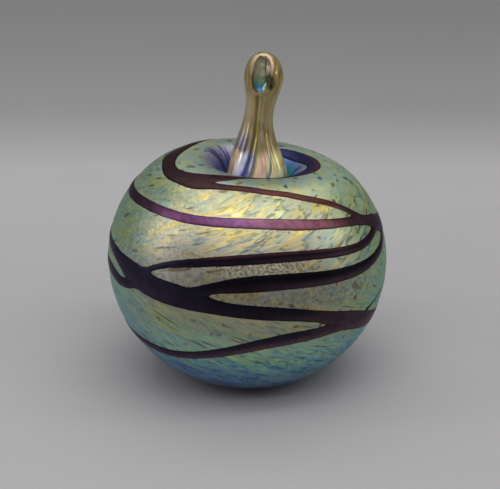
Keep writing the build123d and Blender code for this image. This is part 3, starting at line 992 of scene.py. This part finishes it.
def thread_material(colours):
    """Dark violet glass of the threads: a painted violet sheen above, brightest at the front; maroon at the
    crest, painted lighter towards the right; near black below, with the lower edges painted maroon-brown as a
    reflection.
    """
    material, nodes, shader = new_material("thread_glass")
    place, level = nodes.attribute("body_place", "Vector"), nodes.attribute("level")
    inside, across = nodes.attribute("inside"), nodes.attribute("across")
    _, side = bearings(nodes, place)
    turned = side + place.drift(0.06) * 0.5
    # Painted sheen: the violet glass brightest at the front and darker towards the sides
    sheen = turned.ramp(
        (-0.95, 0.05, 0.03, 0.045), (-0.75, 0.11, 0.05, 0.09), (-0.50, 0.18, 0.065, 0.17),
        (-0.15, 0.27, 0.11, 0.25), (0.15, 0.30, 0.13, 0.20), (0.50, 0.23, 0.085, 0.105),
        (0.90, 0.07, 0.035, 0.04))
    # Maroon glass at the crest, with painted light making it lighter towards the right
    crest = turned.ramp(
        (-0.8, 0.05, 0.025, 0.025), (-0.3, 0.055, 0.023, 0.024), (0.1, 0.11, 0.036, 0.036),
        (0.7, 0.13, 0.045, 0.033))
    # Painted reflection: the lower edges of the threads maroon-brown, stronger below the waist
    edge = turned.ramp(
        (-0.9, 0.055, 0.04, 0.07), (-0.5, 0.025, 0.020, 0.038), (0.0, 0.021, 0.0125, 0.0165),
        (0.6, 0.068, 0.040, 0.050))
    edge = nodes.mix(level.remap(-0.12, -0.26), edge, (0.140, 0.074, 0.092))
    deep = level.ramp(
        (-0.50, 0.060, 0.044, 0.068), (-0.30, 0.028, 0.022, 0.042), (-0.02, 0.0125, 0.0105, 0.019),
        (0.20, *colours.thread))
    violet = turned.remap(-0.25, -0.6) * level.remap(-0.3, -0.1)
    low_right = turned.remap(0.35, 0.75, 0.0, 0.9) * level.remap(0.08, -0.08)
    red_edge = across.remap(0.1, 0.7) * level.remap(0.26, 0.33)
    mottle = place.noise(0.5, 3.0, 0.6).remap(0.35, 0.7)
    colour = deep.layers(
        (violet, (0.024, 0.021, 0.040)),
        (low_right, (0.066, 0.043, 0.052)),
        (across.remap(0.35, -0.75), edge),
        (red_edge, (0.055, 0.018, 0.028)),
        (level.remap(0.41, 0.47), sheen),
        (level.remap(0.60, 0.70), crest),
        ((level + turned * 0.05).remap(1.0, 1.08), (0.03, 0.035, 0.11)),
        (mottle * 0.35, colours.thread),
        (inside.remap(0.8, 0.1, 0.0, 0.5), colours.thread))
    skin = nodes.group("glass_skin", Place=place, Grain=0.9)
    nodes.fill(
        shader, Base_Color=colour, Roughness=skin["Haze"].remap(0.25, 0.75, 0.30, 0.44, "LINEAR"),
        Normal=nodes.bump(skin["Height"], 0.4, 0.4 * MM), Metallic=0.75, Specular_IOR_Level=0.2,
        Specular_Tint=(0.55, 0.46, 0.58))
    return material


def stem_material(colours):
    """Amber glass of the stem, streaked lengthwise, with an iridescent film on its foot and in its hollow,
    and painted highlights, reflections and shade on its foot and knob.
    """
    material, nodes, shader = new_material("stem_glass")
    flow = nodes.attribute("stem_flow", "Vector")
    turn, hollow, valley, dent, ring = [
        nodes.attribute("stem_" + word) for word in ("turn", "hollow", "valley", "dent", "ring")]
    _, _, height = flow.parts()
    stretched = flow * (1.0, 1.0, 0.10)
    streaks = stretched.noise(0.38)
    thin = stretched.noise(1.1)
    waver = (thin - 0.5) * 16.0
    wavy_turn = turn + waver
    neck = wavy_turn.ramp(
        (-170, 0.30, 0.23, 0.10), (-100, 0.16, 0.13, 0.06), (-62, 0.28, 0.22, 0.13),
        (-34, 0.44, 0.36, 0.24), (-12, 0.34, 0.26, 0.14), (-4, 0.07, 0.05, 0.02), (4, 0.50, 0.36, 0.09),
        (13, 0.26, 0.19, 0.07), (22, 0.34, 0.36, 0.22), (30, 0.22, 0.15, 0.05), (52, 0.31, 0.23, 0.09),
        (76, 0.25, 0.20, 0.08), (104, 0.14, 0.12, 0.05), (170, 0.30, 0.23, 0.10))
    # Painted highlight: the pale ring just outside the hollow, which the multiply below keeps only near the
    # top
    crown = (ring + (streaks - 0.5) * 0.7).ramp(
        (0.98, 0.12, 0.09, 0.03), (1.12, 0.58, 0.46, 0.32), (1.26, 0.40, 0.29, 0.12),
        (1.42, 0.24, 0.17, 0.04), (1.62, 0.36, 0.25, 0.06), (1.85, 0.17, 0.13, 0.02),
        (2.10, 0.30, 0.21, 0.04), (3.20, 0.20, 0.14, 0.03))
    knob = nodes.mix(height.remap(31.5, 28.0) * ring.remap(1.5, 1.2), crown, (0.66, 0.62, 0.42), "MULTIPLY")
    # Painted highlight: pink at the top right of the knob
    painted_pink_highlight = height.remap(29.5, 32.0) * thin.remap(0.46, 0.60, 0.0, 0.8) * turn.within(10, 30, 55, 80)

    # Foot: a painted highlight that makes a pale facet to the left, under a violet-grey patch painted as a
    # reflection, then bands of the film round to the right
    # Painted highlight: the white and pale stops on the left facet
    film = (wavy_turn + height.remap(-1.0, -8.0, 0.0, 9.0)).ramp(
        (-150, 0.62, 0.46, 0.20), (-110, 0.70, 0.55, 0.34), (-70, 0.32, 0.30, 0.17),
        (-50, 0.46, 0.39, 0.22), (-42, 1.00, 0.62, 0.30), (-30, 1.00, 0.78, 0.52),
        (-20, 1.00, 0.98, 0.96), (-11, 0.86, 0.92, 1.00), (-6, 0.40, 0.44, 0.92), (-2, 0.12, 0.12, 0.46),
        (6, 0.30, 0.32, 0.46), (13, 0.20, 0.18, 0.12), (22, 0.94, 0.72, 0.40), (33, 1.00, 0.58, 0.48),
        (45, 0.95, 0.80, 0.42), (53, 0.13, 0.16, 0.22), (60, 0.90, 0.76, 0.36), (78, 0.88, 0.76, 0.30),
        (100, 0.42, 0.36, 0.14), (150, 0.62, 0.46, 0.20))
    facet = wavy_turn.within(-75, -50, -18, -8)
    foot = (height + waver * 0.12 + facet * 1.6).remap(6.6, facet * 2.2 + 2.2)

    # Knob: painted shade and dark reflection in the dent, and a pool of blue and green film in the hollow,
    # with a painted glint at its foot and painted shade on its right wall
    # Painted shade and dark reflection in the dent
    painted_dent_dark = nodes.mix(thin.remap(0.42, 0.58), (0.15, 0.11, 0.012), (0.010, 0.009, 0.002))
    # Film in the hollow, with a painted glint in the pale stop at its bottom
    pool_film_and_painted_light = height.ramp(
        (23.0, 0.62, 0.76, 0.95), (23.8, 0.06, 0.22, 0.66), (25.2, 0.04, 0.26, 0.34),
        (27.0, 0.17, 0.29, 0.16), (29.5, 0.34, 0.33, 0.22), (32.0, 0.27, 0.27, 0.15),
        (34.2, 0.16, 0.14, 0.05))
    # Painted shade on the hollow's right wall
    pool_film_and_painted_light = nodes.mix(turn.remap(14.0, 24.0, 0.0, 0.9), pool_film_and_painted_light, (0.015, 0.016, 0.006))
    colour = neck.layers(
        (streaks.remap(0.35, 0.60, 0.6, 0.0), colours.amber),
        (height.remap(20.0, 25.0), knob),
        (painted_pink_highlight, (0.72, 0.42, 0.30)),
        # Painted violet-grey reflection above the pale facet
        (facet * height.remap(12.0, 7.0) * 0.85, (0.13, 0.11, 0.18)),
        (foot, film),
        # Painted shade in the valleys of the foot
        (valley.remap(0.35, 1.0, 0.0, 0.75), (0.07, 0.06, 0.05)),
        (dent.remap(0.06, 0.45, 0.0, 0.95), painted_dent_dark),
        (hollow.remap(0.25, 0.7, 0.0, 0.9), pool_film_and_painted_light))
    relief = nodes.group("glass_skin", Place=flow, Grain=0.6)["Height"] * 0.3 + streaks * 0.22
    nodes.fill(
        shader, Base_Color=colour, Roughness=thin.remap(0.3, 0.7, 0.14, 0.20, "LINEAR"),
        Normal=nodes.bump(relief, 0.35, 0.4 * MM), Metallic=0.35, Coat_Weight=0.6, Coat_Roughness=0.05)
    return material


def core_material():
    """Dark amethyst glass of the core, hidden inside the casing."""
    material, nodes, shader = new_material("core_glass")
    place = nodes.outputs("ShaderNodeTexCoord")["Object"] * (1 / MM)
    haze = nodes.group("glass_skin", Place=place, Grain=0.5)["Haze"]
    colour = nodes.mix(haze, (0.05, 0.02, 0.08), (0.10, 0.04, 0.14))
    nodes.fill(shader, Base_Color=colour, Roughness=haze.remap(0.2, 0.8, 0.1, 0.2, "LINEAR"))
    return material


def paper_material(colour):
    """Paper of the floor and backdrop, clear from behind, with painted shade that is lighter at the bend and
    darker up the wall and to the right.
    """
    material, nodes, shader = new_material("floor_paper")
    place = nodes.outputs("ShaderNodeTexCoord")["Object"]
    x, y, z = place.parts()
    stops = [(spot, *(shade * channel for channel in colour)) for spot, shade in SWEEP_PAINTED_SHADES]
    # Painted shade: the paper a little darker to the right
    aside = x.remap(-0.06, 0.08, 1.0, 0.965, "LINEAR")
    speck = place.noise(40.0, 3.0).remap(0.3, 0.7, 0.0, 0.04)
    paper = (y + z).ramp(*stops).layers((1.0, aside, "MULTIPLY"), (speck, (0.3, 0.3, 0.3)))
    nodes.fill(shader, Base_Color=paper, Roughness=0.85, Specular_IOR_Level=0.2)
    either = nodes.add("ShaderNodeMixShader")
    behind = nodes.outputs("ShaderNodeNewGeometry")["Backfacing"]
    surface = nodes.feed_all(
        either, behind, Field(nodes, shader.outputs[0]), nodes.first("ShaderNodeBsdfTransparent"))
    nodes.fill(material.node_tree.nodes["Material Output"], Surface=surface)
    return material


# Pieces and stage

class GLASS_OT_body(bpy.types.Operator):
    """Make the lustre body as a turned outline, leaning and ground flat underneath"""

    bl_idname = "glass_apple.body"
    bl_label = "Body"

    def execute(self, context):
        settings = context.scene.glass_apple
        body = settings.body
        outline = outline_curve(body)
        values = turned_values(
            body, outline, (QUARTER, QUARTER + FULL_TURN), (0, level_marks(body)[2]),
            (body.segments + 1, body.rows + 1), lustre_material(settings.colours))
        values.update({"Dish radius": body.dish_radius, "Dish depth": body.dish_depth})
        piece = add_tree("lustre_body", body_tree(), values)
        make_plain(piece)
        bpy.data.objects.remove(outline)
        settle(piece, ["lustre_casing"])
        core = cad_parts["core"]
        core.data.materials.clear()
        core.data.materials.append(core_material())
        return {"FINISHED"}


class GLASS_OT_threads(bpy.types.Operator):
    """Lay the dark threads round the body and melt them together where they meet"""

    bl_idname = "glass_apple.threads"
    bl_label = "Threads"

    def execute(self, context):
        settings = context.scene.glass_apple
        outline = outline_curve(settings.body)
        paths = {name: smooth_path(knots, THREAD_STEP) for name, knots in THREAD_KNOTS.items()}
        guides = {name: self.guide(name, path, settings) for name, path in paths.items()}
        finish = thread_material(settings.colours)
        for name, path in paths.items():
            self.thread(name, path, guides, outline, settings, finish)
        for helper in [outline, *guides.values()]:
            bpy.data.objects.remove(helper)
        return {"FINISHED"}

    def guide(self, name, path, settings):
        """Row of points along a thread's middle, each with the thread's half width."""
        mesh = bpy.data.meshes.new("guide_" + name)
        mesh.from_pydata(on_body(settings.body, path[:, 0], path[:, 1]).tolist(), [], [])
        keep_values(mesh, "half_width", "FLOAT", "value", path[:, 2] * settings.threads.width / 2)
        return new_object("guide_" + name, mesh)

    def thread(self, name, path, guides, outline, settings, finish):
        """One thread as a closed strip of glass in place of its CAD node."""
        body, sizes = settings.body, settings.threads
        equator, crest, _ = level_marks(body)
        room = sizes.width + sizes.fillet
        low = equator + path[:, 1].min() / 100 * (crest - equator) - room
        high = equator + path[:, 1].max() / 100 * (crest - equator) + room
        turns = np.radians(path[:, 0])
        margin = 2 * room / body.crest_radius if high > crest else room / body.radius
        first = turns.min() - margin
        last = min(turns.max() + margin, first + FULL_TURN)
        columns = math.ceil((last - first) * body.radius / sizes.cell)
        rows = math.ceil((high - low) / sizes.cell)
        values = turned_values(
            body, outline, (first - QUARTER, last - QUARTER), (low, high), (columns, rows), finish)
        values["Own guide"] = guides[name]
        values.update({other: guides[other] for other in THREAD_MEETS[name]})
        values.update({word: getattr(sizes, word.lower().replace(" ", "_")) for word in THREAD_INPUTS})
        piece = add_tree("melted_" + name, thread_tree("laid_" + name, THREAD_MEETS[name]), values)
        wall = piece.modifiers.new("wall", "SOLIDIFY")
        wall.thickness = sizes.thickness
        wall.offset = -1
        make_plain(piece)
        settle(piece, [name])


class GLASS_OT_stem(bpy.types.Operator):
    """Draw the fluted stem with its folded knob"""

    bl_idname = "glass_apple.stem"
    bl_label = "Stem"

    def execute(self, context):
        settings = context.scene.glass_apple
        body, sizes = settings.body, settings.stem
        path = smooth_path(STEM_KNOTS, STEM_STEP)
        path = path[path[:, 2] > 0]
        pick = np.linspace(0, len(path) - 1, sizes.rows).round().astype(int)
        height, shift, radius = path[pick].T[:, :, None]
        turn = np.linspace(-math.pi, math.pi, sizes.segments, endpoint=False)[None, :]
        offset, masks = self.relief(turn, height, radius, sizes)
        reach = radius * MM + offset * np.clip(radius / RELIEF_RADIUS, 0, 1)
        reach = np.maximum(reach, LEAST_RADIUS * MM)
        x = shift * MM + reach * np.sin(turn)
        y = -reach * np.cos(turn)
        z = np.repeat(body.crest_rise + height * MM, sizes.segments, 1)
        sine, cosine = math.sin(body.lean), math.cos(body.lean)
        place = np.stack([x * cosine + z * sine, y, z * cosine - x * sine + equator_height(body)], 2)
        mesh = self.skin(place.reshape(-1, 3), sizes)
        front_fold = np.radians(np.interp(height, VALLEY_HEIGHTS, STEM_VALLEYS[0][0]))
        folded = wrapped(turn - front_fold)
        upright = np.repeat(height, sizes.segments, 1)
        across, back = np.sin(folded) * STREAK_RADIUS, -np.cos(folded) * STREAK_RADIUS
        flow = np.stack([across, back, upright], 2).reshape(-1, 3)
        ends = [[0, 0, height[0, 0]], [0, 0, height[-1, 0]]]
        keep_values(mesh, "stem_flow", "FLOAT_VECTOR", "vector", np.concatenate([flow, ends]))
        masks["turn"] = np.degrees(folded)
        for name, values in masks.items():
            keep_values(mesh, "stem_" + name, "FLOAT", "value", np.r_[values.ravel(), 0, 0])
        mesh.materials.append(stem_material(settings.colours))
        piece = new_object("drawn_stem", mesh)
        settle(piece, ["stem"])
        return {"FINISHED"}

    def relief(self, turn, height, radius, sizes):
        """Relief of the stem over its round section, and the masks of its hollow, dent and valleys."""
        valley = np.zeros(np.broadcast(turn, height).shape)
        for angles, depths in STEM_VALLEYS:
            middle = np.radians(np.interp(height, VALLEY_HEIGHTS, angles))
            share = np.interp(height, VALLEY_HEIGHTS, depths) * np.interp(height, VALLEY_END, [1, 0])
            aside = np.abs(wrapped(turn - middle)) / sizes.valley_width
            valley = np.maximum(valley, share * np.exp(-aside**VALLEY_POWER))
        ring = self.hollow_ring(turn, height, radius)
        hollow = np.clip((HOLLOW_RING - ring) / HOLLOW_SLOPE, 0, 1)
        hollow = hollow * hollow * (3 - 2 * hollow)
        dent_aside = (turn - math.radians(DENT_TURN)) / math.radians(DENT_HALF_TURN)
        dent_above = (height - DENT_HEIGHT) / DENT_HALF_HEIGHT
        dent = np.clip(DENT_EDGE - np.hypot(dent_aside, dent_above), 0, 1) ** 2
        rope = np.exp(-((ring - ROPE_RING) / ROPE_WIDTH) ** 2) * np.interp(height, ROPE_HEIGHTS, [0, 1])
        offset = -valley * sizes.valley_depth - (hollow + DENT_SHARE * dent) * sizes.recess_depth
        offset = offset + rope * sizes.rope_height
        return offset, {"hollow": hollow, "dent": dent, "valley": valley, "ring": ring}

    def hollow_ring(self, turn, height, radius):
        """Distance out from the middle of the knob's drop-shaped hollow, 1 at its edge."""
        along = path_lengths(np.hstack([height, radius]))[:, None]
        along = along - np.interp(HOLLOW_HEIGHT, height[:, 0], along[:, 0])
        around = wrapped(turn - math.radians(HOLLOW_TURN))
        past = np.maximum(np.abs(around) - QUARTER, 0)
        aside = radius * (np.sin(np.minimum(np.abs(around), QUARTER)) + past)
        curl = np.interp(height, CURL_HEIGHTS, [0, 1])
        ahead = along[-1] - (along[-1] - along) * (1 - curl + curl * np.cos(around))
        power = np.interp(ahead, HOLLOW_RISE, HOLLOW_POWERS)
        tall = np.where(ahead > 0, HOLLOW_ABOVE, HOLLOW_BELOW)
        return ((aside / HOLLOW_HALF_WIDTH) ** power + (np.abs(ahead) / tall) ** power) ** (1 / power)

    def skin(self, places, sizes):
        """Closed mesh over rings of points, with a point at each end."""
        around = sizes.segments
        top = (sizes.rows - 1) * around
        foot, tip = len(places), len(places) + 1
        sides = [(column, (column + 1) % around) for column in range(around)]
        faces = []
        for low in range(0, top, around):
            high = low + around
            faces += [(low + one, low + other, high + other, high + one) for one, other in sides]
        for one, other in sides:
            faces += [(foot, other, one), (tip, top + one, top + other)]
        ends = [places[:around].mean(0), places[-around:].mean(0)]
        mesh = bpy.data.meshes.new("drawn_stem")
        mesh.from_pydata(np.concatenate([places, ends]).tolist(), [], faces)
        mesh.shade_smooth()
        return mesh


class GLASS_OT_stage(bpy.types.Operator):
    """Set up the floor, the lamps and the camera"""

    bl_idname = "glass_apple.stage"
    bl_label = "Stage"

    def execute(self, context):
        scene = context.scene
        stage, body = scene.glass_apple.stage, scene.glass_apple.body
        scene.view_settings.view_transform = "Standard"
        self.sweep(stage)
        self.room(scene, stage)
        middle = Vector((0, 0, equator_height(body)))
        for name, place, size, setting, share in LAMPS:
            self.lamp(name, middle, Vector(place), size, share * getattr(stage, setting))
        self.camera(scene, stage, middle)
        return {"FINISHED"}

    def sweep(self, stage):
        """Floor that curves up into a backdrop."""
        line = [(SWEEP_FRONT, 0.0), (SWEEP_BACK, 0.0)]
        for step in range(1, BEND_STEPS + 1):
            angle = QUARTER * step / BEND_STEPS
            back = SWEEP_BACK + SWEEP_BEND * math.sin(angle)
            line.append((back, SWEEP_BEND - SWEEP_BEND * math.cos(angle)))
        line.append((SWEEP_BACK + SWEEP_BEND, SWEEP_TOP))
        points = [(side, y, z) for y, z in line for side in (-SWEEP_HALF, SWEEP_HALF)]
        faces = [(2 * row, 2 * row + 1, 2 * row + 3, 2 * row + 2) for row in range(len(line) - 1)]
        mesh = bpy.data.meshes.new("floor_sweep")
        mesh.from_pydata(points, [], faces)
        mesh.shade_smooth()
        mesh.materials.append(paper_material(stage.floor))
        floor = new_object("floor_sweep", mesh)

    def room(self, scene, stage):
        """Even grey light of the room."""
        world = bpy.data.worlds.new("room")
        world.use_nodes = True
        surface = world.node_tree.nodes["Background"]
        surface.inputs["Color"].default_value = ROOM_COLOUR
        surface.inputs["Strength"].default_value = stage.room
        scene.world = world

    def lamp(self, name, middle, place, size, power):
        """Soft oblong lamp aimed at the body."""
        light = bpy.data.lights.new(name, "AREA")
        light.energy = power
        light.shape = "RECTANGLE"
        light.size, light.size_y = size
        self.aim(new_object(name, light), middle, place)

    def camera(self, scene, stage, middle):
        """Camera at the photograph's viewing angle, with its small offset of the frame."""
        data = bpy.data.cameras.new("camera")
        data.lens = stage.lens
        data.shift_x = (PHOTO_MIDDLE[0] - BODY_MIDDLE[0]) / PHOTO_WIDTH
        data.shift_y = (BODY_MIDDLE[1] - PHOTO_MIDDLE[1]) / PHOTO_WIDTH
        scene.camera = new_object("camera", data)
        back = Vector((0, -math.cos(stage.camera_height), math.sin(stage.camera_height)))
        self.aim(scene.camera, middle, back * stage.camera_distance)

    def aim(self, made, middle, place):
        """Put a lamp or camera at a place from the body's middle, and aim it there."""
        made.location = middle + place
        made.rotation_euler = (-place).to_track_quat("-Z", "Y").to_euler()


class GLASS_PT_apple(bpy.types.Panel):
    """Sidebar panel of the glass apple"""

    bl_idname = "GLASS_PT_apple"
    bl_label = "Glass apple"
    bl_space_type = "VIEW_3D"
    bl_region_type = "UI"
    bl_category = "Glass apple"

    def draw(self, context):
        settings = context.scene.glass_apple
        groups = [
            (GLASS_OT_body, settings.body),
            (GLASS_OT_threads, settings.threads),
            (GLASS_OT_stem, settings.stem),
            (None, settings.colours),
            (GLASS_OT_stage, settings.stage),
        ]
        for operator, group in groups:
            box = self.layout.box()
            for name in group.bl_rna.properties.keys():
                if name not in ("rna_type", "name"):
                    box.prop(group, name)
            if operator:
                box.operator(operator.bl_idname)


CLASSES = (
    BodySizes, ThreadSizes, StemSizes, GlassColours, StageSettings, AppleSettings,
    GLASS_OT_body, GLASS_OT_threads, GLASS_OT_stem, GLASS_OT_stage, GLASS_PT_apple,
)


def register():
    for cls in CLASSES:
        bpy.utils.register_class(cls)
    bpy.types.Scene.glass_apple = PointerProperty(type=AppleSettings)


def unregister():
    del bpy.types.Scene.glass_apple
    for cls in reversed(CLASSES):
        bpy.utils.unregister_class(cls)


def main():
    register()
    bpy.ops.glass_apple.body()
    bpy.ops.glass_apple.threads()
    bpy.ops.glass_apple.stem()
    bpy.ops.glass_apple.stage()


if __name__ == "__main__":
    main()
